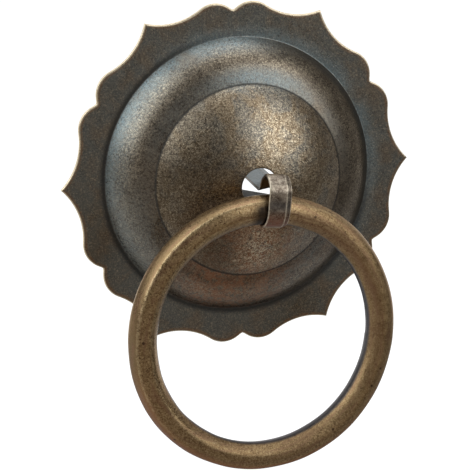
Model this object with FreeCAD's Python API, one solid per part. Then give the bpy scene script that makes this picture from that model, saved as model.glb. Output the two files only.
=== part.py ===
import FreeCAD, Part

import math
import os

from FreeCAD import Vector

# Ring pull handle for a cabinet door or a drawer front.
# Lengths are millimetres and angles are degrees. The origin is the centre of the
# backplate's mounting face, +Z points up and -Y points out of the door.
# A height is a distance in front of the mounting face, so it is measured along -Y.

# Backplate: one round of sheet, with a scalloped edge and a dome of two tiers.
sheet = 1.0
tip_count = 6
base_radius = 36.0         # foot of the first tier
flange_width = 7.55        # from that foot to the hollows of the edge
tip_rise = 4.05            # how far the tips stand out beyond the hollows
notch_depth = 0.95         # how far the notches cut in beyond the hollows
hollow_angle = 11.9        # from a tip to the bottom of the hollow beside it
lobe_bend = 6.5            # radius of the rounded lobe between a hollow and a notch
outline_turn = 6.6         # how far the plate is turned, anticlockwise from the front
tier_width = 11.0          # first tier, from its foot to the crease between the tiers
tier_rise = 8.4            # from the flange to the crease
tier_slope = 10.0          # fall of the first tier where it leaves the crease
cap_rise = 9.8             # second tier, a cap of a sphere, from the crease to its pole
press_bend = 1.2           # radius pressed into the corner of flange and first tier

# Ring: one round bar, closed in a circle. It hangs from the strap.
ring_radius = 32.25        # to the middle of the bar
bar_radius = 3.7
ring_lift = 0.45           # top of the bar above the hole's axis
stand_off = 7.0            # from the rim of the plate's hole to the back of the bar

# Strap: a flat strip bent round the bar, with two legs back through the plate.
strap_width = 6.0
strap_thickness = 0.7
strap_bend = 1.2           # radius where a leg turns into the eye, at mid thickness
strap_edge = 0.15          # bevel along the strip's edges
eye_gap = 0.5              # play between the bar and the strip
rise_angle = 54.0          # slope of the wall that rises from the upper leg to the crown
brow_angle = 40.0          # slope from the crown down to the front wall
brow_level = 1.7           # where the front wall leaves that slope, above the hole's axis
brow_bend = 4.0            # radius there, at mid thickness
crown_bend = 1.6
upper_neck = 0.6           # bend of the upper leg above the hole's axis
upper_neck_lag = 0.1       # the same bend behind the back of the bar
lower_neck = -1.2          # bend of the lower leg, below the hole's axis
upper_leg_slope = 6.3
lower_leg_slope = 8.2
leg_reach = 30.0           # how far the legs stand out behind the mounting face
hole_gap = 0.9             # play between the strip's edges and the plate's hole

# Places that follow from these sizes.
half_strip = strap_thickness / 2
eye_bend = bar_radius + eye_gap + half_strip
eye_back = stand_off - eye_gap - half_strip
lower_fall = math.tan(math.radians(lower_leg_slope))
upper_rise = math.tan(math.radians(upper_leg_slope))
lower_reach = half_strip - lower_neck + lower_fall * (eye_back + sheet)
upper_reach = half_strip + upper_neck + upper_rise * (stand_off - upper_neck_lag + sheet)
hole_radius = math.hypot(strap_width / 2, max(lower_reach, upper_reach)) + hole_gap
hollow_radius = base_radius + flange_width
tip_radius = hollow_radius + tip_rise
notch_radius = hollow_radius - notch_depth
groove_radius = base_radius - tier_width
groove_height = sheet + tier_rise
cap_bend = (groove_radius**2 + cap_rise**2) / (2 * cap_rise)
cap_centre = groove_height + cap_rise - cap_bend
rim_height = cap_centre + math.sqrt(cap_bend**2 - hole_radius**2)
bar_height = rim_height + stand_off + bar_radius
bar_level = ring_lift - bar_radius


def on_profile(radius, height):
    """Point of the dome's section, which lies in the XY plane."""
    return Vector(radius, -height, 0)


def on_side(height, level):
    """Point of the strap's side view, which lies in the YZ plane."""
    return Vector(0, -height, level)


def on_face(radius, angle):
    """Point of the plate's outline, which lies in the XZ plane."""
    turn = math.radians(angle)
    return Vector(radius * math.cos(turn), 0, radius * math.sin(turn))


def arc_about(centre, start, end):
    """The shorter arc from start to end round centre."""
    middle = (start - centre) + (end - centre)
    middle.normalize()
    return Part.Arc(start, centre + middle * (start - centre).Length, end).toShape()


def line(start, end):
    return Part.LineSegment(start, end).toShape()


def thickened(path, thickness):
    """Face between a path and its parallel, thickness away, with sharp corners."""
    return Part.Wire(path).makeOffset2D(thickness, join=2, fill=True, openResult=True)


def dome_section():
    """Front line of the sheet, from the axis to beyond the tips, made into a section."""
    crease = on_profile(groove_radius, groove_height)
    top = on_profile(0, groove_height + cap_rise)
    cap = arc_about(on_profile(0, cap_centre), top, crease)

    # The first tier is an arc that leaves the crease at tier_slope and ends at the foot.
    slope = math.radians(tier_slope)
    half_turn = math.atan2(tier_rise, tier_width) - slope
    tier_bend = math.hypot(tier_width, tier_rise) / (2 * math.sin(half_turn))
    tier_radius = groove_radius - tier_bend * math.sin(slope)
    tier_height = groove_height - tier_bend * math.cos(slope)
    tier_centre = on_profile(tier_radius, tier_height)

    # The pressed corner touches that arc from outside and the flange from above.
    press_height = sheet + press_bend
    reach = tier_bend + press_bend
    press_radius = tier_radius + math.sqrt(reach**2 - (press_height - tier_height)**2)
    press_centre = on_profile(press_radius, press_height)
    meeting = tier_centre + (press_centre - tier_centre) * (tier_bend / reach)
    foot = on_profile(press_radius, sheet)

    tier = arc_about(tier_centre, crease, meeting)
    press = arc_about(press_centre, meeting, foot)
    rest = line(foot, on_profile(tip_radius + sheet, sheet))
    return thickened([cap, tier, press, rest], -sheet)


def half_scallop(tip_angle, side):
    """Hollow and lobe from a tip to the notch on one side of it."""
    near = math.cos(math.radians(hollow_angle))
    chord_square = hollow_radius**2 + tip_radius**2 - 2 * tip_radius * hollow_radius * near
    hollow_bend = chord_square / (2 * (tip_radius * near - hollow_radius))
    hollow_centre = on_face(hollow_radius + hollow_bend, tip_angle + side * hollow_angle)
    notch = on_face(notch_radius, tip_angle + side * 180 / tip_count)

    # The lobe's arc touches the hollow's from outside and ends in the notch.
    reach = hollow_bend + lobe_bend
    span = notch - hollow_centre
    along = (reach**2 - lobe_bend**2 + span.Length**2) / (2 * span.Length)
    across = math.sqrt(reach**2 - along**2)
    span.normalize()
    inward = Vector(span.z, 0, -span.x) * -side
    lobe_centre = hollow_centre + span * along + inward * across
    meeting = hollow_centre + (lobe_centre - hollow_centre) * (hollow_bend / reach)

    tip = on_face(tip_radius, tip_angle)
    return [arc_about(hollow_centre, tip, meeting), arc_about(lobe_centre, meeting, notch)]


def scalloped_blank(height):
    """Prism of the plate's outline."""
    edges = []
    for count in range(tip_count):
        tip_angle = outline_turn + count * 360 / tip_count
        edges += half_scallop(tip_angle, 1) + half_scallop(tip_angle, -1)
    outline = Part.Wire(Part.__sortEdges__(edges))
    return Part.Face(outline).extrude(Vector(0, -height, 0))


def make_backplate():
    """Pressed sheet: a revolved dome and flange, cut to the outline, with the hole."""
    pressed = dome_section().revolve(Vector(), Vector(0, 1, 0), 360)
    above = 2 * (groove_height + cap_rise)
    hole = Part.makeCylinder(hole_radius, above, Vector(), Vector(0, -1, 0))
    return pressed.common(scalloped_blank(above)).cut(hole)


def make_ring():
    """Closed round bar, which hangs with its top in the strap's eye."""
    centre = Vector(0, -bar_height, bar_level - ring_radius)
    return Part.makeTorus(ring_radius, bar_radius, centre, Vector(0, 1, 0))


def bent_path(corners):
    """Lines through the corners, each given as its point and the radius of its bend."""
    edges = []
    last = corners[0][0]
    for before, corner, after in zip(corners, corners[1:], corners[2:]):
        point, bend = corner
        back = before[0] - point
        ahead = after[0] - point
        half = back.getAngle(ahead) / 2
        back.normalize()
        ahead.normalize()
        setback = bend / math.tan(half)
        start = point + back * setback
        end = point + ahead * setback
        bisector = back + ahead
        bisector.normalize()
        centre = point + bisector * (bend / math.sin(half))
        if (start - last).Length > 1e-6:
            edges.append(line(last, start))
        edges.append(arc_about(centre, start, end))
        last = end
    edges.append(line(last, corners[-1][0]))
    return edges


def strap_corners():
    """Corners of the strip at mid thickness, from the upper leg's end to the lower's."""
    front = bar_height + eye_bend
    back = bar_height - eye_bend
    floor = bar_level - eye_bend
    neck = bar_height - bar_radius - upper_neck_lag
    upper = on_side(neck, upper_neck)
    lower = on_side(back, lower_neck)

    # The crown lies where the rising wall meets the slope that comes up from the front wall.
    rise = math.tan(math.radians(rise_angle))
    fall = math.tan(math.radians(brow_angle))
    run = (brow_level - upper_neck + (front - neck) * fall) / (rise + fall)
    crown = on_side(neck + run, upper_neck + run * rise)

    tail = -leg_reach
    upper_end = on_side(tail, upper_neck + upper_rise * (-upper.y - tail))
    lower_end = on_side(tail, lower_neck - lower_fall * (-lower.y - tail))
    lower_bend = min(strap_bend, 0.8 * (lower_neck - bar_level))
    return [
        (upper_end, 0),
        (upper, strap_bend),
        (crown, crown_bend),
        (on_side(front, brow_level), brow_bend),
        (on_side(front, floor), eye_bend),
        (on_side(back, floor), eye_bend),
        (lower, lower_bend),
        (lower_end, 0),
    ]


def make_strap():
    """Strip bent to its side view, with its long edges bevelled."""
    face = thickened(bent_path(strap_corners()), half_strip)
    face = face.fuse(thickened(bent_path(strap_corners()), -half_strip)).removeSplitter()
    strip = face.extrude(Vector(strap_width, 0, 0)).Solids[0]
    strip.translate(Vector(-strap_width / 2, 0, 0))
    long_edges = []
    for edge in strip.Edges:
        box = edge.BoundBox
        if box.XLength < 1e-6 and edge.Length > 1.5 * strap_thickness:
            long_edges.append(edge)
    return strip.makeChamfer(strap_edge, long_edges)


def main():
    os.makedirs("parts", exist_ok=True)
    pieces = {
        "backplate": make_backplate(),
        "ring": make_ring(),
        "strap": make_strap(),
    }
    for name, piece in pieces.items():
        solid = piece.Solids[0]
        print(name, len(piece.Solids), solid.isValid(), round(solid.Volume, 1), solid.BoundBox)
        solid.exportStep(f"parts/{name}.step")
    print("hole radius", hole_radius, "bar height", bar_height, "bar level", bar_level)


main()
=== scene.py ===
import math
from types import SimpleNamespace

import bpy
import numpy as np
from bpy.props import FloatProperty, FloatVectorProperty, IntProperty, PointerProperty
from mathutils import Matrix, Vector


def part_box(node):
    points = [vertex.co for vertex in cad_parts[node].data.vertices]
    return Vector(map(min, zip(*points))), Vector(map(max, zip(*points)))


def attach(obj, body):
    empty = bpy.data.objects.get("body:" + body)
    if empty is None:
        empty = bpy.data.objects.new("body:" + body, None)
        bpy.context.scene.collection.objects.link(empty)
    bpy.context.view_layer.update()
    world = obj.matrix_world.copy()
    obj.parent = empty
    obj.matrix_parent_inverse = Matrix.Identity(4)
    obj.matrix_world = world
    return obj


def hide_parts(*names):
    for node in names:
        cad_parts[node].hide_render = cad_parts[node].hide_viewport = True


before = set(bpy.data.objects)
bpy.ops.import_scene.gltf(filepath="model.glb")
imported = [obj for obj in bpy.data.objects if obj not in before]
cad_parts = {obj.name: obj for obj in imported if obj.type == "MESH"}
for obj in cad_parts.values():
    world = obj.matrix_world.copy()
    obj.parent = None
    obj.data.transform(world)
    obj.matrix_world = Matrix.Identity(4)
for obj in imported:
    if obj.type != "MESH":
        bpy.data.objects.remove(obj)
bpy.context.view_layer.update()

bl_info = {
    "name": "Ring Pull Handle",
    "version": (1, 0, 0),
    "blender": (4, 5, 0),
    "location": "3D View > Sidebar > Ring Pull",
    "description": "Rosette, ring and strap of a cabinet ring pull, with aged brass finishes",
    "category": "Add Mesh",
}

MM = 0.001
RING_LOW, RING_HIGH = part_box("ring")
STRAP_LOW, STRAP_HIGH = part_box("strap")
BAR_RADIUS = (RING_HIGH.y - RING_LOW.y) / 2
RING_RADIUS = (RING_HIGH.x - RING_LOW.x) / 2
ROSETTE_TURNS = 504
RING_TURNS = 480
BAR_SIDES = 72
STRIP_SPACING = 0.35 * MM
SHARP_ANGLE = math.radians(50)


def setting(kind, **fixed):
    """Kind of setting, given its description and default value first and its label later."""

    def described(description, default):
        return lambda name: kind(name=name, description=description, default=default, **fixed)

    return described


length = setting(FloatProperty, unit="LENGTH", precision=5)
angle = setting(FloatProperty, subtype="ANGLE")
share = setting(FloatProperty, min=0, max=1, subtype="FACTOR")
colour = setting(FloatVectorProperty, size=3, min=0, subtype="COLOR")
number = setting(IntProperty)
focal_length = setting(FloatProperty)


def turn(description, degrees):
    return angle(description, math.radians(degrees))


def labelled(group):
    """Makes the properties of a group, each labelled after its own name."""
    for key, make in group.__annotations__.items():
        group.__annotations__[key] = make(key.replace("_", " ").capitalize())
    return group


@labelled
class RosetteSettings(bpy.types.PropertyGroup):
    sheet: length("Thickness of the pressed sheet", 1.0 * MM)
    base_radius: length("Foot of the first tier", 36.0 * MM)
    flange_width: length("From the foot to the hollows of the edge", 7.55 * MM)
    tip_rise: length("How far the tips stand out beyond the hollows", 4.05 * MM)
    notch_depth: length("How far the notches cut in", 0.95 * MM)
    notch_ease: turn("How far round the plate the bottom of a notch is eased", 0.55)
    hollow_angle: turn("From a tip to the bottom of the hollow beside it", 11.9)
    lobe_bend: length("Radius of the rounded lobes", 6.5 * MM)
    outline_turn: turn("How far the plate is turned, anticlockwise", 6.6)
    tips: number("Number of tips round the edge", 6)
    tier_width: length("First tier, from its foot to the groove", 11.0 * MM)
    tier_rise: length("From the flange to the groove", 8.4 * MM)
    tier_slope: turn("Fall of the first tier where it leaves the groove", 15.0)
    cap_rise: length("Second tier, from the groove to its pole", 9.8 * MM)
    press_bend: length("Radius pressed into the foot of the dome", 0.4 * MM)
    hole_radius: length("Radius of the hole in the middle", 4.86 * MM)
    unevenness: length("Depth of the shallow dents of the dome", 0.09 * MM)
    flange_cool: colour("Green grey patina of the flange", (0.166, 0.168, 0.150))
    flange_warm: colour("Brown stains of the flange", (0.192, 0.160, 0.122))
    tier_dark: colour("First tier under its patina", (0.115, 0.086, 0.061))
    tier_light: colour("First tier where the patina is thin", (0.205, 0.163, 0.117))
    cap_cool: colour("Grey stains of the cap", (0.19, 0.163, 0.13))
    cap_warm: colour("Brown metal of the cap", (0.25, 0.172, 0.10))
    # Painted shade, brown, on the cap's left and round its skirt
    cap_shade: colour("Brown side of the cap", (0.085, 0.058, 0.034))
    # Blue grey patina, also a painted reflection of the cool light on the left side and high along
    # the groove
    haze: colour("Blue grey patina along foot and groove", (0.185, 0.255, 0.27))
    copper: colour("Reddish patina on the lower half", (0.38, 0.15, 0.065))
    gold: colour("Grains that wear has laid bare", (0.90, 0.74, 0.51))
    # Dark colour of the pits and hollows, also laid in the groove and round the foot, and as
    # painted shade on the steep wall at the right
    grime: colour("Dirt in the corners and pits", (0.035, 0.034, 0.032))
    # Bare metal of the cut edge, also a painted highlight, brighter along the upper edges
    cut_edge: colour("Bright line along the scalloped edge", (0.92, 0.76, 0.52))
    edge_glow: colour("Orange brown band inside that line", (0.33, 0.19, 0.10))
    wear: share("Strength of the worn grains", 1.0)


@labelled
class RingSettings(bpy.types.PropertyGroup):
    bar_radius: length("Half of the bar's thickness", BAR_RADIUS)
    outer_radius: length("Half of the ring's width", RING_RADIUS)
    oval: length("How far each side is pulled in", 0.4 * MM)
    slack: length("How far the middle line stays inside its full circle", 0.15 * MM)
    unevenness: length("Depth of the hand made dents", 0.09 * MM)
    facet: length("Depth of the six soft flats of the bar", 0.18 * MM)
    dark: colour("Brass under its patina", (0.28, 0.172, 0.078))
    light: colour("Brass where the patina is thin", (0.40, 0.262, 0.122))
    # Brown stains and pits; the same colour is also painted shade over the key light's highlight
    # at the upper right, and darkens the bottom a little
    shade: colour("Brown stains and pits", (0.085, 0.048, 0.028))
    # Rubbed grains, and on the ridge at the upper left also a painted highlight
    rubbed: colour("Grains and ridges rubbed bright", (0.72, 0.53, 0.29))
    rust: colour("Reddish brown streaks", (0.27, 0.145, 0.085))
    outside: colour("Brown patina round the outside", (0.205, 0.13, 0.062))
    # Painted shadow of the strap, black on the bar left of it
    soot: colour("Black stain beside the strap", (0.03, 0.022, 0.018))
    unrubbed: colour("Blue grey patina inside the ring", (0.075, 0.085, 0.105))
    copper: colour("Reddish patina under the ring", (0.48, 0.18, 0.065))
    wear: share("Strength of the rubbed grains", 0.45)


@labelled
class StrapSettings(bpy.types.PropertyGroup):
    width: length("Width of the strip", STRAP_HIGH.x - STRAP_LOW.x)
    thickness: length("Thickness of the strip", 0.7 * MM)
    eye_gap: length("Play between the bar and the strip", 0.5 * MM)
    upper_neck: length("Bend of the upper leg, above the hole's axis", 0.6 * MM)
    neck_lag: length("The same bend behind the back of the bar", 0.1 * MM)
    rise_run: length("Length of the steep wall that rises from that bend", 3.4 * MM)
    rise_angle: turn("Slope of that wall", 66.0)
    shoulder_angle: turn("Slope from that wall up to the crown", 34.0)
    brow_angle: turn("Slope from the crown down to the front wall", 38.0)
    brow_level: length("Where the front wall leaves that slope", 2.9 * MM)
    lower_neck: length("Bend of the lower leg, above the hole's axis", -1.2 * MM)
    shoulder_bend: length("Radius between rising wall and shoulder", 2.5 * MM)
    crown_bend: length("Radius of the crown, at mid thickness", 2.4 * MM)
    brow_bend: length("Radius between front wall and brow", 3.5 * MM)
    leg_bend: length("Radius where a leg turns into the eye", 1.2 * MM)
    upper_slope: turn("Rise of the upper leg towards the door", 6.3)
    lower_slope: turn("Fall of the lower leg towards the door", 8.2)
    leg_reach: length("How far the legs stand out behind the plate", 30.0 * MM)
    bevel_width: length("Width of the hammered bevel on one edge", 1.35 * MM)
    bevel_drop: length("How much the strip thins over that bevel", 0.4 * MM)
    upper_twist: length("Rise of the upper leg's right edge", 1.6 * MM)
    lower_twist: length("The same for the lower leg", 0.6 * MM)
    dark: colour("Strip under its patina", (0.165, 0.125, 0.092))
    light: colour("Strip where the patina is thin", (0.40, 0.325, 0.245))
    # Brown pits, also painted shade on the bevel and on the lower leg
    pit: colour("Brown pits", (0.10, 0.062, 0.04))
    # Painted shade: a dark reflection half way down the front
    cold: colour("Dark grey half way down the front", (0.10, 0.098, 0.096))
    # Painted light: the inner face is coloured lighter than its shade would leave it
    inside: colour("Unrubbed inner face", (0.28, 0.20, 0.12))
    copper: colour("Reddish patina low on the front", (0.26, 0.098, 0.055))
    leg: colour("Blue grey of the legs inside the dome", (0.13, 0.165, 0.18))
    # Worn edges and grains, also painted highlights along the edges and the bottom of the front
    worn: colour("Bright lines along the edges", (0.90, 0.76, 0.56))


@labelled
class StageSettings(bpy.types.PropertyGroup):
    azimuth: turn("Camera's turn round the object, from straight in front", -19.53)
    elevation: turn("Camera's height angle", 11.44)
    roll: turn("Camera's turn about its own axis", 4.77)
    distance: length("From the camera to the middle of the plate", 0.6324)
    shift_right: length("How far right of the plate the camera aims", -0.00082)
    shift_up: length("How far above the plate the camera aims", -0.01595)
    lens: focal_length("Focal length of the camera, in millimetres", 185.77)
    floor_level: length("Height of the floor", -0.25)
    floor_tone: colour("Colour of the floor", (0.4, 0.4, 0.4))


def in_order(operation):
    return lambda level, other: level.math(operation, level, other)


def in_turn(operation):
    """The same with the two swapped, for a plain number that comes first."""
    return lambda level, other: level.math(operation, other, level)


class Level:
    """A number that changes over a surface. It wraps a socket, and sums add Math nodes."""

    def __init__(self, finish, socket):
        self.finish = finish
        self.socket = socket

    def math(self, operation, *others):
        slots = dict(enumerate(others))
        return self.finish.node("ShaderNodeMath", {"operation": operation}, slots)

    __add__, __radd__ = in_order("ADD"), in_turn("ADD")
    __sub__, __rsub__ = in_order("SUBTRACT"), in_turn("SUBTRACT")
    __mul__, __rmul__ = in_order("MULTIPLY"), in_turn("MULTIPLY")
    __pow__ = in_order("POWER")
    most = in_order("MAXIMUM")

    def __abs__(self):
        return self.math("ABSOLUTE", self)

    def at_least(self, low):
        """The same change, squeezed to run from low to 1 in place of 0 to 1."""
        return low + self * (1 - low)

    def step(self, low, high):
        """0 below low, 1 above high and a smooth change between them."""
        settings = {"interpolation_type": "SMOOTHSTEP"}
        span = {"Value": self, "From Min": low, "From Max": high, "To Min": 0, "To Max": 1}
        return self.finish.node("ShaderNodeMapRange", settings, span)

    def band(self, middle, half_width):
        """1 at the middle value and 0 beyond half_width on either side of it."""
        return 1 - abs(self - middle).step(0, half_width)


class Finish:
    """The node tree of one material or of the world."""

    def __init__(self, tree):
        self.tree = tree
        tree.nodes.clear()

    def node(self, kind, settings, sockets, output=0):
        """Adds a node: its settings, then the values or links of its sockets."""
        node = self.tree.nodes.new(kind)
        for key, setting in settings.items():
            setattr(node, key, setting)
        for key, entry in sockets.items():
            socket = self.find(node.inputs, key)
            if isinstance(entry, Level):
                self.tree.links.new(entry.socket, socket)
            elif socket.type == "RGBA":
                socket.default_value = (*entry, 1) if len(entry) == 3 else entry
            else:
                socket.default_value = entry
        return Level(self, self.find(node.outputs, output)) if node.outputs else None

    @staticmethod
    def find(sockets, key):
        """A socket by its place, its identifier or its name."""
        if isinstance(key, int):
            return sockets[key]
        for socket in sockets:
            if socket.identifier == key:
                return socket
        return sockets[key]

    def blend(self, factor, first, second):
        """Colour between first and second."""
        sockets = {"Factor_Float": factor, "A_Color": first, "B_Color": second}
        return self.node("ShaderNodeMix", {"data_type": "RGBA"}, sockets, "Result_Color")

    def coats(self, base, *coats):
        """Lays coats over a colour in turn, each given by its cover and its own colour."""
        for cover, shade in coats:
            base = self.blend(cover, base, shade)
        return base

    def place(self):
        """Place on the object, in millimetres."""
        spot = self.node("ShaderNodeTexCoord", {}, {}, "Object")
        sockets = {0: spot, "Scale": 1 / MM}
        return self.node("ShaderNodeVectorMath", {"operation": "SCALE"}, sockets)

    def split(self, vector):
        """The three parts of a vector."""
        apart = self.node("ShaderNodeSeparateXYZ", {}, {"Vector": vector})
        return [Level(self, socket) for socket in apart.socket.node.outputs]

    def move(self, vector, along, amount):
        """A vector with an amount of another one added."""
        sockets = {0: along, 1: (amount, amount, amount), 2: vector}
        return self.node("ShaderNodeVectorMath", {"operation": "MULTIPLY_ADD"}, sockets)

    def noise(self, vector, scale, detail=2.0, roughness=0.5, distortion=0.0):
        """Cloudy pattern between 0 and 1, with scale patches to a millimetre."""
        sockets = {"Vector": vector, "Scale": scale, "Detail": detail}
        sockets.update({"Roughness": roughness, "Distortion": distortion})
        return self.node("ShaderNodeTexNoise", {}, sockets)

    def cells(self, vector, scale):
        """Distance to the nearest of a set of scattered points, in spacings of those points."""
        return self.node("ShaderNodeTexVoronoi", {}, {"Vector": vector, "Scale": scale})

    def mark(self, name):
        """Value of one of the piece's own attributes."""
        return self.node("ShaderNodeAttribute", {"attribute_name": name}, {}, "Fac")

    def bump(self, height, distance, strength, under=None):
        """Normal of a surface that rises by the distance where the height is 1."""
        sockets = {"Height": height, "Distance": distance, "Strength": strength}
        if under is not None:
            sockets["Normal"] = under
        return self.node("ShaderNodeBump", {}, sockets)

    def metal(self, base, roughness, normal, metallic=1.0):
        sockets = {"Base Color": base, "Roughness": roughness, "Metallic": metallic}
        sockets["Normal"] = normal
        surface = self.node("ShaderNodeBsdfPrincipled", {}, sockets)
        self.node("ShaderNodeOutputMaterial", {}, {"Surface": surface})


def new_finish(name):
    material = bpy.data.materials.new(name)
    material.use_nodes = True
    return material, Finish(material.node_tree)


def rosette_zones(finish, sizes, place):
    """Parts of the plate, each 1 inside and fading to 0 at its borders.

    Places are millimetres from the plate's axis, with x to the right and z up. A step runs from 0
    at its first place to 1 at its second, and a band is 1 at its middle.
    """
    x, _, z = finish.split(place)
    radius = (x * x + z * z) ** 0.5
    foot = sizes.base_radius / MM
    groove = (sizes.base_radius - sizes.tier_width) / MM
    on_dome = 1 - radius.step(foot - 0.1, foot + 0.2)
    on_cap = 1 - radius.step(groove - 0.2, groove + 0.2)
    crest = radius.band(groove + 6.5, 6.0)
    right = (x * 0.9 + z * 0.45).step(12, 31)
    upper = (z - x * 0.4).step(0, 38)
    below = (1 - z.step(-17, -2)) * on_dome
    low = below * (1 - (0 - x).step(6, 26)) * (1 - x.step(2, 20) * 0.75)
    low_left = (0 - x).step(6, 26) * (1 - z.step(-16, 10))

    # Blue grey patina lies along the foot and the groove, over the left side and low on the right.
    # Over the left side and high along the groove it is also a painted reflection of the cool
    # light from the left and above.
    beside = (on_dome * (1 - right)).most((1 - on_dome) * (x + z * 0.9).step(-12, 26))
    foot_haze = radius.band(foot, 5.0) * z.step(-30, 10).at_least(0.35) * beside
    groove_haze = radius.band(groove + 1.5, 4.5) * z.step(-8, 16)
    groove_haze = groove_haze * (1 - x.step(2, 24) * 0.75) * x.step(-20, 0).at_least(0.4)
    # On the tier's left the blue grey is partly a painted reflection of the cool left light
    left = (0 - x).step(6, 32) * radius.step(foot - 7.5, foot - 1.5) * on_dome
    low_right = below * x.step(2, 18) * (0.25 + radius.band(groove + 1, 5) * 0.2)
    haze = foot_haze.most(groove_haze * 0.8).most(left * 0.52).most(low_right)
    haze = haze.most(low_left * (on_dome - on_cap) * 0.36)

    # The cap is painted darker on its left and round its skirt as painted shade, and knocked
    # bright under the strap.
    skirt = radius.step(groove - 10, groove - 1) * (x - z * 0.4).step(0, 18) * 0.45
    unrubbed = (0 - x - z * 0.3).step(-1, 15).most(skirt) * on_cap
    knocked = x.band(2.5, 9) * z.band(-16.5, 9) * on_cap

    # The groove and the corner outside the foot are darkened, the corner less towards the upper
    # right, and the steep wall at the right is darkened as painted shade.
    lee = 1 - (x * 0.6 + z * 0.8).step(5, 34) * 0.75
    corner = radius.band(foot + 0.5, 1.7) * radius.step(foot - 0.3, foot + 0.1) * lee
    # Painted shade on the steep wall of the foot, at the right
    steep = radius.step(foot - 2.6, foot - 0.9) * on_dome * right
    dirt = (radius.band(groove, 0.45) * 0.8).most(corner * 0.85).most(steep * 0.6)
    zones = {"on_dome": on_dome, "on_cap": on_cap, "crest": crest, "right": right, "upper": upper}
    zones.update(low=low, low_left=low_left, haze=haze, dirt=dirt)
    return SimpleNamespace(**zones, unrubbed=unrubbed, knocked=knocked)


def rosette_finish(sizes):
    """Stamped brass under a dark patina, with gold grains where hands have worn it."""
    material, finish = new_finish("aged_rosette_brass")
    place = finish.place()
    zones = rosette_zones(finish, sizes, place)
    clouds = finish.noise(place, 0.07, 3, 0.55)
    stains = finish.noise(place, 0.16, 4, 0.6, 0.4)
    patches = finish.noise(place, 0.3, 4, 0.6, 0.3)
    mottle = finish.noise(place, 0.85, 3, 0.65, 0.8)
    worms = finish.noise(place, 1.1, 2, 0.6, 1.8)
    grain = finish.noise(place, 2.2, 2, 0.8, 0.5)
    pits = 1 - finish.cells(place, 0.12).step(0.035, 0.06)

    flange = finish.blend(stains.step(0.4, 0.66), sizes.flange_cool, sizes.flange_warm)
    fine = (patches * 0.45 + grain * 0.55).step(0.38, 0.6)
    fine = fine + (0.6 - fine) * zones.right * 0.5
    tier = finish.blend(fine, sizes.tier_dark, sizes.tier_light)
    cap = finish.blend(stains.step(0.38, 0.56), sizes.cap_cool, sizes.cap_warm)
    base = finish.blend(zones.on_cap, finish.blend(zones.on_dome, flange, tier), cap)

    haze = zones.haze * clouds.step(0.25, 0.5) * grain.step(0.38, 0.58).at_least(0.4)
    rust = zones.low * mottle.step(0.34, 0.56) * patches.step(0.35, 0.6).at_least(0.45)

    # Wear lays bare the middle line of the worms, most on the cap and on the tier's crest.
    off_line = abs(worms - 0.5)
    ridges = 1 - off_line.step(0.005, 0.075)
    crest = zones.crest * (0.58 + zones.right * 0.09 - zones.low_left * 0.3)
    rubbed = (zones.on_cap * 0.85).most(crest) * clouds.step(0.3, 0.6).at_least(0.55)
    rubbed = rubbed * (1 + zones.knocked * 1.1 - zones.low * 0.45)
    rubbed = (rubbed * (1 - zones.unrubbed * 0.5)).most(0.2)
    grains = ridges * grain.step(0.4, 0.6).at_least(0.2) * rubbed * sizes.wear
    sparks = (1 - off_line.step(0.02, 0.05)) * mottle.step(0.42, 0.56) * zones.knocked
    flecks = grain.step(0.58, 0.66) * (1 - zones.on_dome) * 0.22
    hollows = (1 - ridges) * (1 - grain.step(0.36, 0.52)) * (0.2 + zones.on_cap * 0.4)
    hollows = hollows * (1 - zones.low * 0.55) * (1 - sparks) * (1 - zones.low_left * 0.5)
    # Darkening of the zones, partly painted shade, with the pits of the dome added
    dirt = zones.dirt.most(pits * zones.on_dome * 0.85)

    edge = finish.mark("edge")
    glow = edge.band(0.62, 0.42) * mottle.step(0.3, 0.55)
    # Bright line along the cut edge: bare metal and a painted highlight, brighter along the upper
    # edges where the light falls
    rim = (edge + zones.upper * 0.12).step(0.74, 0.9) * grain.step(0.36, 0.56).at_least(0.75)
    base = finish.coats(
        base,
        (haze * 0.88, sizes.haze),
        (rust * (0.58 + zones.on_cap * 0.34), sizes.copper),
        # Painted shade on the cap's left and round its skirt
        (zones.unrubbed * (0.6 + stains * 0.4), sizes.cap_shade),
        (grains, sizes.gold),
        (sparks, sizes.gold),
        (flecks, sizes.gold),
        (hollows, sizes.grime),
        (dirt, sizes.grime),
        (glow * 0.65, sizes.edge_glow),
        (rim * 0.95, sizes.cut_edge),
    )

    roughness = 0.31 + (patches - 0.5) * 0.2 + (grain - 0.5) * 0.25 - grains * 0.08 + dirt * 0.3
    lift = worms * (0.3 + zones.on_cap * 0.7 + zones.knocked * 1.4)
    normal = finish.bump(grain, 0.055 * MM, 0.5)
    normal = finish.bump(lift, 0.14 * MM, 0.6, normal)
    finish.metal(base, roughness, normal, 1 - haze * 0.45)
    return material


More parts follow.
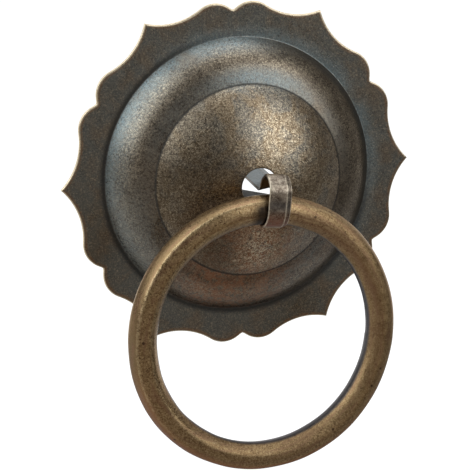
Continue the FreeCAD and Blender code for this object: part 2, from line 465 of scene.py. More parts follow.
def ring_finish(sizes):
    """Cast brass bar with an olive patina, rubbed bright by the hand that pulls it.

    The streaks run along the bar, because their noise takes the place in the bar's section in
    full and the place round the ring only in small part.
    """
    material, finish = new_finish("aged_ring_brass")
    place = finish.place()
    x, y, z = finish.split(place)
    middle = (RING_LOW.z + RING_HIGH.z) / 2 / MM
    away = (x * x + (z - middle) * (z - middle)) ** 0.5
    section = finish.node("ShaderNodeCombineXYZ", {}, {0: away * 0.75, 1: y * 0.75})
    streaks = finish.noise(finish.move(section, place, 0.13), 1.0, 3, 0.6, 0.4)
    patches = finish.noise(place, 0.15, 3, 0.6, 0.3)
    mottle = finish.noise(place, 0.7, 3, 0.6, 0.6)
    grain = finish.noise(place, 2.2, 2, 0.75, 0.8)
    worms = finish.noise(place, 1.15, 2, 0.6, 1.8)
    pits = 1 - finish.cells(place, 0.17).step(0.045, 0.08)

    # Zones, in millimetres to the right of the plate's axis and above it
    lively = 1 - x.step(12, 32) * 0.5
    # Where the key light's highlight falls, right of the strap
    bright = x.step(2, 9) * (1 - x.step(16, 28)) * z.step(-24, -8)
    low = 1 - z.step(-66, -48)
    # Ridge line at the upper left: rubbed metal, also a painted highlight
    ridge = finish.mark("ridge") * mottle.step(0.3, 0.6)
    strap_shadow = finish.mark("strap_shadow")

    tone = (patches * 0.3 + mottle * 0.3 + streaks * 0.4).step(0.38, 0.62)
    scratches = (1 - abs(worms - 0.5).step(0.005, 0.06)) * grain.step(0.42, 0.6).at_least(0.2)
    base = finish.coats(
        finish.blend(tone, sizes.dark, sizes.light),
        ((1 - mottle.step(0.32, 0.46)) * 0.25, sizes.shade),
        (grain.step(0.5, 0.68) * lively * sizes.wear, sizes.rubbed),
        (scratches * lively * sizes.wear, sizes.rubbed),
        # The dark grains are deeper over the upper right, a painted shade that dims the key
        # light's highlight there
        ((1 - grain.step(0.36, 0.48)) * (lively * 0.6 + bright * 0.3), sizes.shade),
        (finish.mark("flank") * (0.35 + mottle * 0.42), sizes.rust),
        (finish.mark("outer") * 0.85, sizes.outside),
        (streaks.step(0.48, 0.62) * 0.5, sizes.rust),
        (finish.mark("under") * (0.6 + patches * 0.8), sizes.copper),
        (finish.mark("inner") * 0.85, sizes.unrubbed),
        (ridge * 0.7, sizes.rubbed),
        (pits * 0.85, sizes.shade),
        # The ring is a little darker towards the bottom
        (low * 0.15, sizes.shade),
        # Painted shadow of the strap on the bar, left of it
        (strap_shadow * (0.75 + mottle * 0.3), sizes.soot),
    )
    roughness = 0.32 + low * 0.14 + (mottle - 0.5) * 0.2 + (grain - 0.5) * 0.3 - ridge * 0.06
    roughness = roughness + strap_shadow * 0.12 + x.step(0, 18) * 0.09 + bright * 0.12
    normal = finish.bump(grain, 0.05 * MM, 0.5)
    normal = finish.bump(worms, 0.08 * MM, 0.5, normal)
    normal = finish.bump(mottle, 0.06 * MM, 0.5, normal)
    finish.metal(base, roughness, normal)
    return material


def strap_finish(sizes):
    """Worn strip with bright edges that are partly painted highlights, a reddish foot, painted
    shade half way down the front and on the lower leg, and a dark brown inside painted lighter
    than its shade would leave it.
    """
    material, finish = new_finish("aged_strap_brass")
    place = finish.place()
    _, y, z = finish.split(place)
    patches = finish.noise(place, 0.55, 3, 0.6, 0.5)
    grain = finish.noise(place, 2.3, 3, 0.65, 1.0)

    # Zones, in millimetres above the plate's axis, and in front of its back where y is below 0
    low = (1 - z.step(-6.5, -2.0)) * patches.step(0.35, 0.6).at_least(0.6)
    leg = y.step(-27.0, -25.5)
    lower_leg = (1 - z.step(-1.0, 0)) * leg
    front = 1 - y.step(-31.5, -30.0)
    edge = finish.mark("edge") * grain.step(0.35, 0.6).at_least(0.55)
    base = finish.coats(
        finish.blend(patches.step(0.34, 0.66), sizes.dark, sizes.light),
        (grain.step(0.5, 0.66) * 0.35, sizes.worn),
        ((1 - grain.step(0.36, 0.48)) * 0.6, sizes.pit),
        (low * 0.85, sizes.copper),
        # Painted shade half way down the front
        (z.band(-1.6, 2.6) * 0.6, sizes.cold),
        # Inner face, painted lighter than its shade
        (finish.mark("inside") * 0.85, sizes.inside),
        (leg * 0.85, sizes.leg),
        # Painted shade along the bevel
        (finish.mark("shade") * 0.35, sizes.pit),
        # Painted shade on the lower leg, which lies behind the ring inside the dome
        (lower_leg * 0.4, sizes.pit),
        # Edges worn bright on the front, partly painted highlights
        (edge * 0.95, finish.blend(front, sizes.dark, sizes.worn)),
        # Painted highlight along the bottom of the front
        (z.band(-7.7, 0.4) * front * 0.7, sizes.worn),
    )

    roughness = 0.34 + (patches - 0.5) * 0.3 + (grain - 0.5) * 0.2 + lower_leg * 0.5
    normal = finish.bump(grain, 0.06 * MM, 0.6)
    normal = finish.bump(patches, 0.15 * MM, 0.6, normal)
    finish.metal(base, roughness, normal, 1 - edge * front * 0.45)
    return material


def grid_faces(rows, columns, wrap_rows, wrap_columns):
    """Corners of the quads of a grid of points, worked out for all quads at once."""
    row = np.arange(rows if wrap_rows else rows - 1)[:, None]
    column = np.arange(columns if wrap_columns else columns - 1)[None, :]
    next_row = (row + 1) % rows
    next_column = (column + 1) % columns
    quads = np.stack(
        [
            row * columns + column,
            next_row * columns + column,
            next_row * columns + next_column,
            row * columns + next_column,
        ],
        axis=-1,
    )
    return quads.reshape(-1, 4)


def new_piece(name, grid, material, marks, wrap_rows=True, wrap_columns=True):
    """Mesh object from a grid of points, with its material and its attributes.

    A grid that is closed across its rows, but not from the last row to the first, is a rod, and
    gets a cap at each end.
    """
    old = bpy.data.objects.get(name)
    if old:
        bpy.data.objects.remove(old)
    rows, columns = grid.shape[:2]
    quads = grid_faces(rows, columns, wrap_rows, wrap_columns)
    corners = [quads.ravel()]
    sizes = [np.full(len(quads), 4)]
    if wrap_columns and not wrap_rows:
        first = np.arange(columns)
        corners += [first, (rows - 1) * columns + first[::-1]]
        sizes.append([columns, columns])
    corners = np.concatenate(corners)
    sizes = np.concatenate(sizes)
    starts = np.concatenate([[0], np.cumsum(sizes)[:-1]])
    mesh = bpy.data.meshes.new(name)
    mesh.vertices.add(rows * columns)
    mesh.vertices.foreach_set("co", grid.astype(np.float32).ravel())
    mesh.loops.add(len(corners))
    mesh.loops.foreach_set("vertex_index", corners.astype(np.int32))
    mesh.polygons.add(len(sizes))
    mesh.polygons.foreach_set("loop_start", starts.astype(np.int32))
    mesh.polygons.foreach_set("use_smooth", np.ones(len(sizes), bool))
    mesh.update(calc_edges=True)
    if mesh.validate():
        raise ValueError(f"{name} has a face that isn't sound")
    mesh.set_sharp_from_angle(angle=SHARP_ANGLE)
    for key, amounts in marks.items():
        attribute = mesh.attributes.new(key, "FLOAT", "POINT")
        attribute.data.foreach_set("value", amounts.astype(np.float32).ravel())
    mesh.materials.append(material)
    piece = bpy.data.objects.new(name, mesh)
    bpy.context.scene.collection.objects.link(piece)
    return piece


def waves(angle, amounts, seed):
    """Smooth wandering line round a circle: a sum of cosines whose phases are drawn at random."""
    draw = np.random.default_rng(seed)
    total = np.zeros_like(angle)
    for order, amount in amounts:
        total = total + amount * np.cos(order * angle + draw.uniform(0, 2 * math.pi))
    return total


def ripples(first, second, wavelength, count, seed):
    """Smooth uneven surface between -1 and 1: plane waves added in random directions."""
    draw = np.random.default_rng(seed)
    total = np.zeros(np.broadcast(first, second).shape)
    for _ in range(count):
        heading = draw.uniform(0, 2 * math.pi)
        rate = 2 * math.pi / (wavelength * draw.uniform(0.7, 1.6))
        phase = draw.uniform(0, 2 * math.pi)
        along = first * math.cos(heading) + second * math.sin(heading)
        total += np.cos(rate * along + phase)
    return total / count


def scallop_radius(angle, sizes):
    """Distance from the axis to the plate's edge at an angle.

    Each half scallop is two arcs that touch: a hollow bent inwards from the tip, and a lobe bent
    outwards that ends in the notch. The ray at the angle meets each arc's circle where the square
    of its length, less twice its product with the centre, makes up the circle's equation. The
    angle from a notch is taken together with a small ease, which rounds the notch's bottom.
    """
    half = math.pi / sizes.tips
    from_notch = (angle - sizes.outline_turn) % (2 * half) - half
    spread = np.maximum(half - np.hypot(from_notch, sizes.notch_ease), 0)
    hollow = sizes.base_radius + sizes.flange_width
    tip = hollow + sizes.tip_rise
    near = math.cos(sizes.hollow_angle)
    chord_square = hollow**2 + tip**2 - 2 * tip * hollow * near
    hollow_bend = chord_square / (2 * (tip * near - hollow))
    hollow_centre = (hollow + hollow_bend) * np.array(
        [math.cos(sizes.hollow_angle), math.sin(sizes.hollow_angle)]
    )
    notch = (hollow - sizes.notch_depth) * np.array([math.cos(half), math.sin(half)])
    reach = hollow_bend + sizes.lobe_bend
    span = notch - hollow_centre
    far = float(np.hypot(*span))
    along = (reach**2 - sizes.lobe_bend**2 + far**2) / (2 * far)
    across = math.sqrt(reach**2 - along**2)
    span = span / far
    lobe_centre = hollow_centre + span * along + np.array([-span[1], span[0]]) * across
    meeting = hollow_centre + (lobe_centre - hollow_centre) * (hollow_bend / reach)

    ray = np.stack([np.cos(spread), np.sin(spread)], axis=-1)
    to_hollow = ray @ hollow_centre
    to_lobe = ray @ lobe_centre
    inner = to_hollow - np.sqrt(
        np.maximum(to_hollow**2 - hollow_centre @ hollow_centre + hollow_bend**2, 0)
    )
    outer = to_lobe + np.sqrt(
        np.maximum(to_lobe**2 - lobe_centre @ lobe_centre + sizes.lobe_bend**2, 0)
    )
    return np.where(spread < math.atan2(meeting[1], meeting[0]), inner, outer)


def dome_line(sizes):
    """Front line of the sheet from the hole's rim to the flange, as radius, height and normal.

    The cap is an arc about the axis, the first tier an arc that leaves the groove at its slope,
    and the pressed foot an arc that touches the tier and the flange. The groove between cap and
    tier is eased by a short parabola that touches both.
    """
    groove = np.array([sizes.base_radius - sizes.tier_width, sizes.sheet + sizes.tier_rise])
    cap_bend = (groove[0] ** 2 + sizes.cap_rise**2) / (2 * sizes.cap_rise)
    cap_centre = np.array([0, groove[1] + sizes.cap_rise - cap_bend])
    half_turn = math.atan2(sizes.tier_rise, sizes.tier_width) - sizes.tier_slope
    tier_bend = math.hypot(sizes.tier_width, sizes.tier_rise) / (2 * math.sin(half_turn))
    tier_centre = groove - tier_bend * np.array(
        [math.sin(sizes.tier_slope), math.cos(sizes.tier_slope)]
    )
    press_height = sizes.sheet + sizes.press_bend
    reach = tier_bend + sizes.press_bend
    press_centre = np.array(
        [tier_centre[0] + math.sqrt(reach**2 - (press_height - tier_centre[1]) ** 2), press_height]
    )
    fall = math.asin((press_centre[0] - tier_centre[0]) / reach)

    def arc(centre, bend, start, end, count):
        """Points at equal turns from the upward direction round a centre."""
        lean = np.linspace(start, end, count)
        outward = np.stack([np.sin(lean), np.cos(lean)], axis=-1)
        return centre + bend * outward, outward

    cap_count, tier_count, press_count, ease_count = 36, 26, 8, 7
    ease = 0.35 * MM
    cap_start = math.asin(sizes.hole_radius / cap_bend)
    cap_end = math.asin(groove[0] / cap_bend)
    cap_end = cap_end - ease / cap_bend
    tier_start = sizes.tier_slope + ease / tier_bend
    cap, cap_normal = arc(cap_centre, cap_bend, cap_start, cap_end, cap_count)
    tier, tier_normal = arc(tier_centre, tier_bend, tier_start, fall, tier_count)
    press, press_normal = arc(press_centre, -sizes.press_bend, fall, 0, press_count)
    step = np.linspace(0, 1, ease_count)[1:-1, None]
    eased = (1 - step) ** 2 * cap[-1] + 2 * step * (1 - step) * groove + step**2 * tier[0]
    lean = (1 - step) * cap_normal[-1] + step * tier_normal[0]
    lean = lean / np.linalg.norm(lean, axis=1, keepdims=True)
    line = np.concatenate([cap, eased, tier, press[1:]])
    normal = np.concatenate([cap_normal, lean, tier_normal, press_normal[1:]])
    return line, normal


def quarter(across, height, start, bend):
    """Five points of a quarter circle, turned clockwise from start round a centre."""
    angle = start - np.linspace(0, math.pi / 2, 5)
    return np.stack([across + bend * np.cos(angle), height + bend * np.sin(angle)])


def rosette_section(sizes):
    """Closed section of the sheet, from the hole's rim along the front to the edge and back.

    The back line is the front line moved along its normal by the sheet's thickness. Each point
    has a radius and a height, its share of the way to the scalloped edge, and how far it lies
    inside that edge. Rim and edge are rounded by quarter circles.
    """
    front, normal = dome_line(sizes)
    back = front - normal * sizes.sheet
    rim_round = 0.22 * MM
    edge_round = 0.28 * MM

    def block(radius, height, share_out=0, inset=0):
        parts = np.broadcast_arrays(radius, height, share_out, inset)
        return np.stack(parts, axis=-1).astype(float)

    rim = sizes.hole_radius + rim_round
    top = np.interp(rim, front[:, 0], front[:, 1]) - rim_round
    low = np.interp(rim, back[:, 0], back[:, 1]) + rim_round
    over = front[front[:, 0] > rim + 0.3 * rim_round]
    under = back[back[:, 0] > rim + 0.3 * rim_round][::-1]
    start = front[-1, 0]
    out = np.linspace(0, 1, 12)[1:-1]
    edge_top = quarter(-edge_round, sizes.sheet - edge_round, math.pi / 2, edge_round)
    edge_low = quarter(-edge_round, edge_round, 0, edge_round)
    return np.concatenate(
        [
            block(*quarter(rim, low, -math.pi / 2, rim_round)),
            block(*quarter(rim, top, math.pi, rim_round)),
            block(over[:, 0], over[:, 1]),
            block(start, sizes.sheet, out, edge_round),
            block(start, edge_top[1], 1, -edge_top[0]),
            block(start, edge_low[1], 1, -edge_low[0]),
            block(start, 0, out[::-1], edge_round),
            block(under[:, 0], under[:, 1]),
        ]
    ).T


def rosette_surface(sizes):
    """Points of the rosette on a grid of turns and section points, and its edge mark.

    A point lies at its radius on the ray of its turn. Over the flange it moves by its share from
    there to the scalloped edge, less its inset along the edge's mitred inward direction. The
    dome's sheet sinks by its unevenness in shallow random dents. The mark is 1 at the edge and
    fades inwards.
    """
    mark_width = 1.6 * MM
    dent_fade = 4 * MM
    angle = sizes.outline_turn + np.arange(ROSETTE_TURNS) * 2 * math.pi / ROSETTE_TURNS
    ray = np.stack([np.cos(angle), np.sin(angle)], axis=-1)
    edge = ray * scallop_radius(angle, sizes)[:, None]
    ahead = np.roll(edge, -1, axis=0) - edge
    ahead = ahead / np.linalg.norm(ahead, axis=1, keepdims=True)
    outward = np.stack([ahead[:, 1], -ahead[:, 0]], axis=-1)
    behind = np.roll(outward, 1, axis=0)
    mitre = (outward + behind) / (1 + np.sum(outward * behind, axis=1, keepdims=True))

    radius, height, weight, inset = rosette_section(sizes)
    share_out = weight[None, :, None]
    plane = (1 - share_out) * ray[:, None, :] * radius[None, :, None]
    plane = plane + share_out * (edge[:, None, :] - mitre[:, None, :] * inset[None, :, None])
    away = np.hypot(plane[..., 0], plane[..., 1])
    dent = ripples(plane[..., 0], plane[..., 1], wavelength=16 * MM, count=14, seed=4)
    fade = np.clip((sizes.base_radius - away) / dent_fade, 0, 1)
    lift = height[None, :] - sizes.unevenness * (0.5 + 0.5 * dent) * fade
    points = np.stack([plane[..., 0], -lift, plane[..., 1]], axis=-1)
    to_edge = np.linalg.norm(edge[:, None, :] - plane, axis=-1)
    return points, {"edge": np.clip(1 - to_edge / mark_width, 0, 1)}


def ring_surface(sizes):
    """Points of the bar round its ring, on a grid of turns and sides, and its marks.

    The middle line is a circle pulled in at its sides by the square of the cosine of the turn,
    which wanders a little, and the bar's radius falls short of its full size by shallow flats
    and dents. A turn starts at the right and a side at the outside of the ring, and the bar's
    front lies at three quarters of the way round it.
    """
    middle = (RING_LOW + RING_HIGH) / 2
    angle = (np.arange(RING_TURNS) * 2 * math.pi / RING_TURNS)[:, None]
    side = (np.arange(BAR_SIDES) * 2 * math.pi / BAR_SIDES)[None, :]
    mean = sizes.outer_radius - sizes.bar_radius
    wander = waves(angle, [(3, 0.4), (4, 0.3), (7, 0.2)], seed=8)
    dents = ripples(
        angle * mean, side * sizes.bar_radius, wavelength=11 * MM, count=12, seed=6
    )
    dents = waves(3 * side + angle, [(1, 0.3)], seed=3) + 1.6 * dents
    pulled_in = sizes.slack + sizes.oval * np.cos(angle) ** 2
    circle = mean - np.maximum(pulled_in + sizes.unevenness * wander, 0)
    ridge = math.radians(53) - math.radians(9) * (1 + np.cos(angle + math.radians(20)))
    flat = 0.5 - 0.5 * np.cos(6 * (side + ridge))
    depth = sizes.facet * (0.65 - 0.35 * np.cos(angle - 0.4))
    bar = sizes.bar_radius - sizes.unevenness * np.clip(0.3 + dents, 0, 1.2) - depth * flat
    away = circle + bar * np.cos(side)
    points = np.stack(
        [
            middle.x + away * np.cos(angle),
            middle.y + bar * np.sin(side) + 0 * angle,
            middle.z + away * np.sin(angle),
        ],
        axis=-1,
    )

    # Each mark is 1 where it is fullest, and fades out over the bar. The ridge mark is a rubbed
    # line and also a painted highlight, and the mark left of the strap is the strap's painted
    # shadow on the bar.
    inner = np.clip((-np.cos(side) - 0.87) / 0.08, 0, 1) + 0 * angle
    under = np.clip((np.cos(side) - 0.45) / 0.4, 0, 1) * np.clip(-np.sin(angle) - 0.2, 0, 1)
    # Ridge line on the upper left, rubbed bare and also a painted highlight where the light from
    # the upper left falls
    rubbed = np.clip(1 - 14 * flat, 0, 1) * np.clip(0.35 - 0.65 * np.cos(angle + 0.8), 0, 1)
    outer = np.clip((np.cos(side) - 0.6) / 0.16, 0, 1)
    outer = outer * np.clip(0.65 - 0.9 * np.cos(angle - 0.5), 0, 1)
    across = points[..., 0]
    # Painted shadow of the strap on the bar, left of it, fading outwards
    strap_shadow = np.clip((across + 7.0 * MM) / (2.4 * MM), 0, 1) * (across < 0) * (np.sin(angle) > 0)
    strap_shadow = strap_shadow * np.clip((0.75 - np.cos(side)) / 0.4, 0, 1)
    flank = np.clip(1 - np.abs(side - 1.5 * math.pi + 0.5) / 0.5, 0, 1)
    flank = flank * np.clip(1.6 * np.cos(angle - 0.8) - 0.6, 0, 1)
    marks = {"inner": inner, "outer": outer, "under": under}
    return points, {**marks, "ridge": rubbed, "strap_shadow": strap_shadow, "flank": flank}


def bent_line(corners, spacing):
    """Line through the corners, each a point and the radius of its bend, with its normals.

    Between two bends it is straight. In a bend it is the arc that touches both straights, whose
    centre lies on the corner's bisector.
    """
    points = []
    headings = []
    last = corners[0][0]
    for before, corner, after in zip(corners, corners[1:], corners[2:]):
        point, bend = corner
        back = before[0] - point
        ahead = after[0] - point
        back = back / np.hypot(*back)
        ahead = ahead / np.hypot(*ahead)
        half = math.acos(float(np.clip(back @ ahead, -1, 1))) / 2
        setback = bend / math.tan(half)
        start = point + back * setback
        bisector = (back + ahead) / np.hypot(*(back + ahead))
        centre = point + bisector * (bend / math.sin(half))
        run = np.hypot(*(start - last))
        count = max(2, int(run / spacing))
        step = np.linspace(0, 1, count, endpoint=False)[:, None]
        if run > 1e-6:
            points.append(last + (start - last) * step)
            headings.append(np.repeat(-back[None, :], count, axis=0))
        first = math.atan2(*(start - centre)[::-1])
        swing = math.pi - 2 * half
        if back[0] * ahead[1] - back[1] * ahead[0] > 0:
            swing = -swing
        count = max(6, int(abs(swing) * bend / (0.5 * spacing)))
        angle = first + swing * np.linspace(0, 1, count, endpoint=False)
        points.append(centre + bend * np.stack([np.cos(angle), np.sin(angle)], axis=-1))
        sense = 1 if swing > 0 else -1
        headings.append(sense * np.stack([-np.sin(angle), np.cos(angle)], axis=-1))
        last = point + ahead * setback
    end = corners[-1][0]
    step = np.linspace(0, 1, max(2, int(np.hypot(*(end - last)) / spacing)))[:, None]
    points.append(last + (end - last) * step)
    headings.append(np.repeat(ahead[None, :], len(step), axis=0))
    heading = np.concatenate(headings)
    return np.concatenate(points), np.stack([-heading[:, 1], heading[:, 0]], axis=-1)


def strap_section(sizes):
    """Closed section of the strip, as places across its width and through its thickness.

    The face is crowned as a parabola. One edge has a broad hammered bevel, and all four corners
    are rounded.
    """
    half = sizes.width / 2
    thick = sizes.thickness / 2
    corner = 0.12 * MM
    left_corner = 0.3 * MM
    crown_drop = 0.05 * MM
    across = np.linspace(-half + left_corner, half - sizes.bevel_width, 13)
    crown = thick - crown_drop * (across / half) ** 2
    bevel = np.linspace(0, 1, 7)[1:]
    bevel_across = half - sizes.bevel_width + bevel * (sizes.bevel_width - corner)
    bevel_face = crown[-1] - sizes.bevel_drop * bevel
    under = np.linspace(half - corner, -half + corner, 9)[1:]
    blocks = [
        np.stack([across, crown]),
        np.stack([bevel_across, bevel_face]),
        quarter(half - corner, bevel_face[-1] - corner, math.pi / 2, corner)[:, 1:],
        quarter(half - corner, corner - thick, 0, corner),
        np.stack([under, np.full(len(under), -thick)]),
        quarter(corner - half, corner - thick, -math.pi / 2, corner)[:, 1:],
        quarter(left_corner - half, crown[0] - left_corner, math.pi, left_corner)[:, :-1],
    ]
    return np.concatenate(blocks, axis=1)


def strap_corners(sizes):
    """Corners of the strip's middle line seen from its side, as height in front and level.

    The neck, the shoulder and the crown follow from their slopes. The crown lies where the line
    up from the shoulder meets the line up from the front wall.
    """
    half = sizes.thickness / 2
    bar_height = -(RING_LOW.y + RING_HIGH.y) / 2
    bar_level = RING_HIGH.z - BAR_RADIUS
    eye_bend = BAR_RADIUS + sizes.eye_gap + half
    front = bar_height + eye_bend
    back = bar_height - eye_bend
    floor = bar_level - eye_bend
    neck = bar_height - BAR_RADIUS - sizes.neck_lag
    shoulder = neck + sizes.rise_run * math.cos(sizes.rise_angle)
    shoulder_level = sizes.upper_neck + sizes.rise_run * math.sin(sizes.rise_angle)
    climb = math.tan(sizes.shoulder_angle)
    fall = math.tan(sizes.brow_angle)
    rest = sizes.brow_level - shoulder_level + (front - shoulder) * fall
    crown = shoulder + rest / (climb + fall)
    crown_level = shoulder_level + (crown - shoulder) * climb
    tail = -sizes.leg_reach
    upper_end = sizes.upper_neck + math.tan(sizes.upper_slope) * (neck - tail)
    lower_end = sizes.lower_neck - math.tan(sizes.lower_slope) * (back - tail)
    corners = [
        (tail, upper_end, 0),
        (neck, sizes.upper_neck, sizes.leg_bend),
        (shoulder, shoulder_level, sizes.shoulder_bend),
        (crown, crown_level, sizes.crown_bend),
        (front, sizes.brow_level, sizes.brow_bend),
        (front, floor, eye_bend),
        (back, floor, eye_bend),
        (back, sizes.lower_neck, sizes.leg_bend),
        (tail, lower_end, 0),
    ]
    return [(np.array([height, level]), bend) for height, level, bend in corners]


def strap_surface(sizes):
    """Points of the strip: its section carried along its bent middle line, and its marks."""
    line, normal = bent_line(strap_corners(sizes), STRIP_SPACING)
    across, depth = strap_section(sizes)
    wobble = ripples(line[:, 0], line[:, 1], wavelength=7 * MM, count=8, seed=11)
    narrowing = 0.018
    width = across[None, :] * (1 - narrowing * (1 + wobble[:, None]))
    height = line[:, None, 0] + normal[:, None, 0] * depth[None, :]
    level = line[:, None, 1] + normal[:, None, 1] * depth[None, :]
    half = sizes.width / 2

    # Each leg twists between these places, in millimetres along the strip from its end.
    run = np.concatenate([[0], np.cumsum(np.hypot(*np.diff(line, axis=0).T))]) / MM
    upper = np.interp(run, [30, 42, 56, 61], [0, 1, 1, 0])[:, None]
    lower = np.interp(run[-1] - run, [30, 40, 54, 57], [0, 1, 1, 0])[:, None]
    level = level + sizes.upper_twist * upper * (width + half) / sizes.width
    level = level + sizes.lower_twist * lower * (width - half) / sizes.width
    points = np.stack([width, -height, level], axis=-1)

    # Marks: both edges and the bevel's crease, worn bright and partly painted highlights; the
    # painted shade inside one edge; the inner face, painted lighter than its shade
    ridge = half - sizes.bevel_width
    lip = np.clip(1 - (half - np.abs(across)) / (0.3 * MM), 0, 1)
    crease = np.clip(1 - np.abs(across - ridge) / (0.25 * MM), 0, 1)
    outside = (depth > -0.1 * MM).astype(float)
    edge = np.maximum(lip * (depth > -0.15 * MM), 0.75 * crease * outside)
    shade = outside * np.clip(1 - np.abs(across - half + 0.42 * MM) / (0.2 * MM), 0, 1)
    inside = (depth < -0.3 * MM).astype(float)
    marks = {"edge": edge, "shade": shade, "inside": inside}
    return points, {name: np.repeat(mark[None, :], len(line), 0) for name, mark in marks.items()}


class RINGPULL_OT_rosette(bpy.types.Operator):
    """Makes the stamped rosette, with its scalloped edge and its dome of two tiers"""

    bl_idname = "ring_pull.rosette"
    bl_label = "Rosette"

    def execute(self, context):
        sizes = context.scene.ring_pull_rosette
        grid, marks = rosette_surface(sizes)
        piece = new_piece("rosette", grid, rosette_finish(sizes), marks)
        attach(piece, "mounting")
        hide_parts("backplate")
        return {"FINISHED"}


class RINGPULL_OT_ring(bpy.types.Operator):
    """Makes the round ring that hangs in the strap's eye"""

    bl_idname = "ring_pull.ring"
    bl_label = "Ring"

    def execute(self, context):
        sizes = context.scene.ring_pull_ring
        grid, marks = ring_surface(sizes)
        piece = new_piece("pull_ring", grid, ring_finish(sizes), marks)
        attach(piece, "pull_ring")
        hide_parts("ring")
        return {"FINISHED"}


class RINGPULL_OT_strap(bpy.types.Operator):
    """Makes the strip that is bent round the ring, with its two legs"""

    bl_idname = "ring_pull.strap"
    bl_label = "Strap"

    def execute(self, context):
        sizes = context.scene.ring_pull_strap
        grid, marks = strap_surface(sizes)
        piece = new_piece("eye_strap", grid, strap_finish(sizes), marks, wrap_rows=False)
        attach(piece, "mounting")
        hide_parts("strap")
        return {"FINISHED"}


class RINGPULL_OT_stage(bpy.types.Operator):
    """Makes the floor, the soft lights, the surroundings and the camera"""

    bl_idname = "ring_pull.stage"
    bl_label = "Stage"

    def execute(self, context):
        stage = context.scene.ring_pull_stage
        context.scene.view_settings.view_transform = "Standard"
        place_camera(stage)
        place_floor(stage)
        place_lights()
        light_surroundings()
        return {"FINISHED"}


def towards(azimuth, elevation):
    """Unit vector from the object, with azimuth from straight in front and rising elevation."""
    flat = math.cos(elevation)
    return np.array([math.sin(azimuth) * flat, -math.cos(azimuth) * flat, math.sin(elevation)])


def axes_facing(back):
    """Level right and up axes of something that looks along -back."""
    right = np.cross([0, 0, 1], back)
    right = right / np.linalg.norm(right)
    return right, np.cross(back, right)


def place_object(name, data, right, up, back, location):
    thing = bpy.data.objects.new(name, data)
    bpy.context.scene.collection.objects.link(thing)
    matrix = np.eye(4)
    matrix[:3, 0] = right
    matrix[:3, 1] = up
    matrix[:3, 2] = back
    matrix[:3, 3] = location
    thing.matrix_world = Matrix(matrix.tolist())
    return thing


def place_camera(stage):
    """Camera at the photograph's angle, turned about its axis by the roll."""
    back = towards(stage.azimuth, stage.elevation)
    level_right, level_up = axes_facing(back)
    right = math.cos(stage.roll) * level_right + math.sin(stage.roll) * level_up
    up = -math.sin(stage.roll) * level_right + math.cos(stage.roll) * level_up
    plate_front = np.array([0, -1.0 * MM, 0])
    aim = plate_front + right * stage.shift_right + up * stage.shift_up
    data = bpy.data.cameras.new("camera")
    data.lens = stage.lens
    data.sensor_width = 36
    data.clip_end = 100
    camera = place_object("camera", data, right, up, back, aim + back * stage.distance)
    bpy.context.scene.camera = camera


def seen_directly(finish):
    """1 for rays from the camera, also through clear things, and 1 for reflections."""
    path = finish.node("ShaderNodeLightPath", {}, {}, "Is Camera Ray")
    outputs = path.socket.node.outputs
    clear = Level(finish, outputs["Is Transmission Ray"])
    return path.most(clear), Level(finish, outputs["Is Glossy Ray"])


def place_floor(stage):
    """Plain pale floor below and behind the object."""
    left, right, near, far = -3.0, 3.0, -0.15, 6.0
    grid = np.array([[[x, y, stage.floor_level] for y in (near, far)] for x in (left, right)])
    material, finish = new_finish("pale_floor")
    matt = finish.node("ShaderNodeBsdfDiffuse", {}, {"Color": stage.floor_tone})
    x, y, _ = finish.split(finish.node("ShaderNodeTexCoord", {}, {}, "Object"))
    behind = y.step(0.3, 0.7)
    beside = 1 - x.step(-0.3, 0.05)
    shown, mirrored = seen_directly(finish)
    strength = shown * (0.6 + behind * 0.35) + mirrored * (behind * 0.95).most(beside * 0.25)
    glow = finish.node("ShaderNodeEmission", {}, {"Color": (1, 1, 1), "Strength": strength})
    surface = finish.node("ShaderNodeAddShader", {}, {0: matt, 1: glow})
    finish.node("ShaderNodeOutputMaterial", {}, {"Surface": surface})
    floor = new_piece("floor", grid, material, {}, wrap_rows=False, wrap_columns=False)


def place_lights():
    """Soft key from the upper right, and cool soft panels from the left and from overhead."""
    distance = 1.2
    lights = [
        ("key", 36, 31.5, 0.92, 1.02, 2.05, (0.87, 0.93, 1.0)),
        ("left_panel", -80, 33, 1.18, 1.22, 2.25, (0.84, 0.92, 1.0)),
        ("overhead", 0, 89.9, 0.95, 0.95, 1.85, (0.86, 0.92, 1.0)),
    ]
    for name, azimuth, elevation, wide, high, level, tint in lights:
        data = bpy.data.lights.new(name, "AREA")
        data.shape = "RECTANGLE"
        data.size = wide
        data.size_y = high
        data.energy = level * math.pi * wide * high
        data.color = tint
        back = towards(math.radians(azimuth), math.radians(elevation))
        right, up = axes_facing(back)
        panel = place_object(name, data, right, up, back, back * distance)
        panel.visible_camera = False


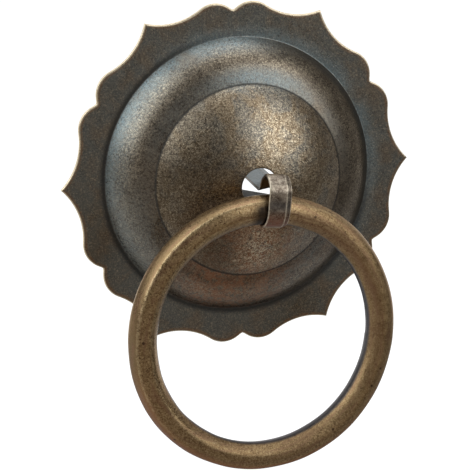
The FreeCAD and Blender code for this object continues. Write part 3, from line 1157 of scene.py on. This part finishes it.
def light_surroundings():
    """White to the camera. Metal sees white behind the object and a dim room in front of it."""
    world = bpy.data.worlds.new("room")
    world.use_nodes = True
    bpy.context.scene.world = world
    finish = Finish(world.node_tree)
    white = (1, 1, 1)
    dim = (0.19, 0.19, 0.19)
    warm_below = (0.30, 0.27, 0.25)
    dark_right = (0.15, 0.15, 0.15)
    cool_left = (0.42, 0.44, 0.45)
    x, y, z = finish.split(finish.node("ShaderNodeTexCoord", {}, {}, "Generated"))
    room = finish.blend(z.step(-0.5, 0.3), warm_below, dim)
    room = finish.blend(x.step(0.3, 0.8), room, dark_right)
    room = finish.blend((0 - x).step(0.35, 0.8) * z.band(-0.45, 0.5), room, cool_left)
    around = finish.blend((y + x * 0.25).step(0.4, 0.7), room, white)
    path = finish.node("ShaderNodeLightPath", {}, {}, "Is Camera Ray")
    shown = finish.blend(path, around, white)
    surface = finish.node("ShaderNodeBackground", {}, {"Color": shown, "Strength": 1})
    finish.node("ShaderNodeOutputWorld", {}, {"Surface": surface})


class RINGPULL_PT_panel(bpy.types.Panel):
    """Lists the pieces of the ring pull and their settings"""

    bl_idname = "RINGPULL_PT_panel"
    bl_label = "Ring Pull"
    bl_space_type = "VIEW_3D"
    bl_region_type = "UI"
    bl_category = "Ring Pull"

    def draw(self, context):
        for operator, settings in PIECES:
            box = self.layout.box()
            box.operator(operator.bl_idname)
            group = getattr(context.scene, settings)
            for name in group.bl_rna.properties.keys():
                if name not in {"rna_type", "name"}:
                    box.prop(group, name)


PIECES = (
    (RINGPULL_OT_rosette, "ring_pull_rosette"),
    (RINGPULL_OT_ring, "ring_pull_ring"),
    (RINGPULL_OT_strap, "ring_pull_strap"),
    (RINGPULL_OT_stage, "ring_pull_stage"),
)
SETTINGS = {
    "ring_pull_rosette": RosetteSettings,
    "ring_pull_ring": RingSettings,
    "ring_pull_strap": StrapSettings,
    "ring_pull_stage": StageSettings,
}
CLASSES = (*SETTINGS.values(), *(operator for operator, _ in PIECES), RINGPULL_PT_panel)


def register():
    for each in CLASSES:
        bpy.utils.register_class(each)
    for name, group in SETTINGS.items():
        setattr(bpy.types.Scene, name, PointerProperty(type=group))


def unregister():
    for name in SETTINGS:
        delattr(bpy.types.Scene, name)
    for each in reversed(CLASSES):
        bpy.utils.unregister_class(each)


def main():
    register()
    bpy.ops.ring_pull.rosette()
    bpy.ops.ring_pull.ring()
    bpy.ops.ring_pull.strap()
    bpy.ops.ring_pull.stage()


if __name__ == "__main__":
    main()
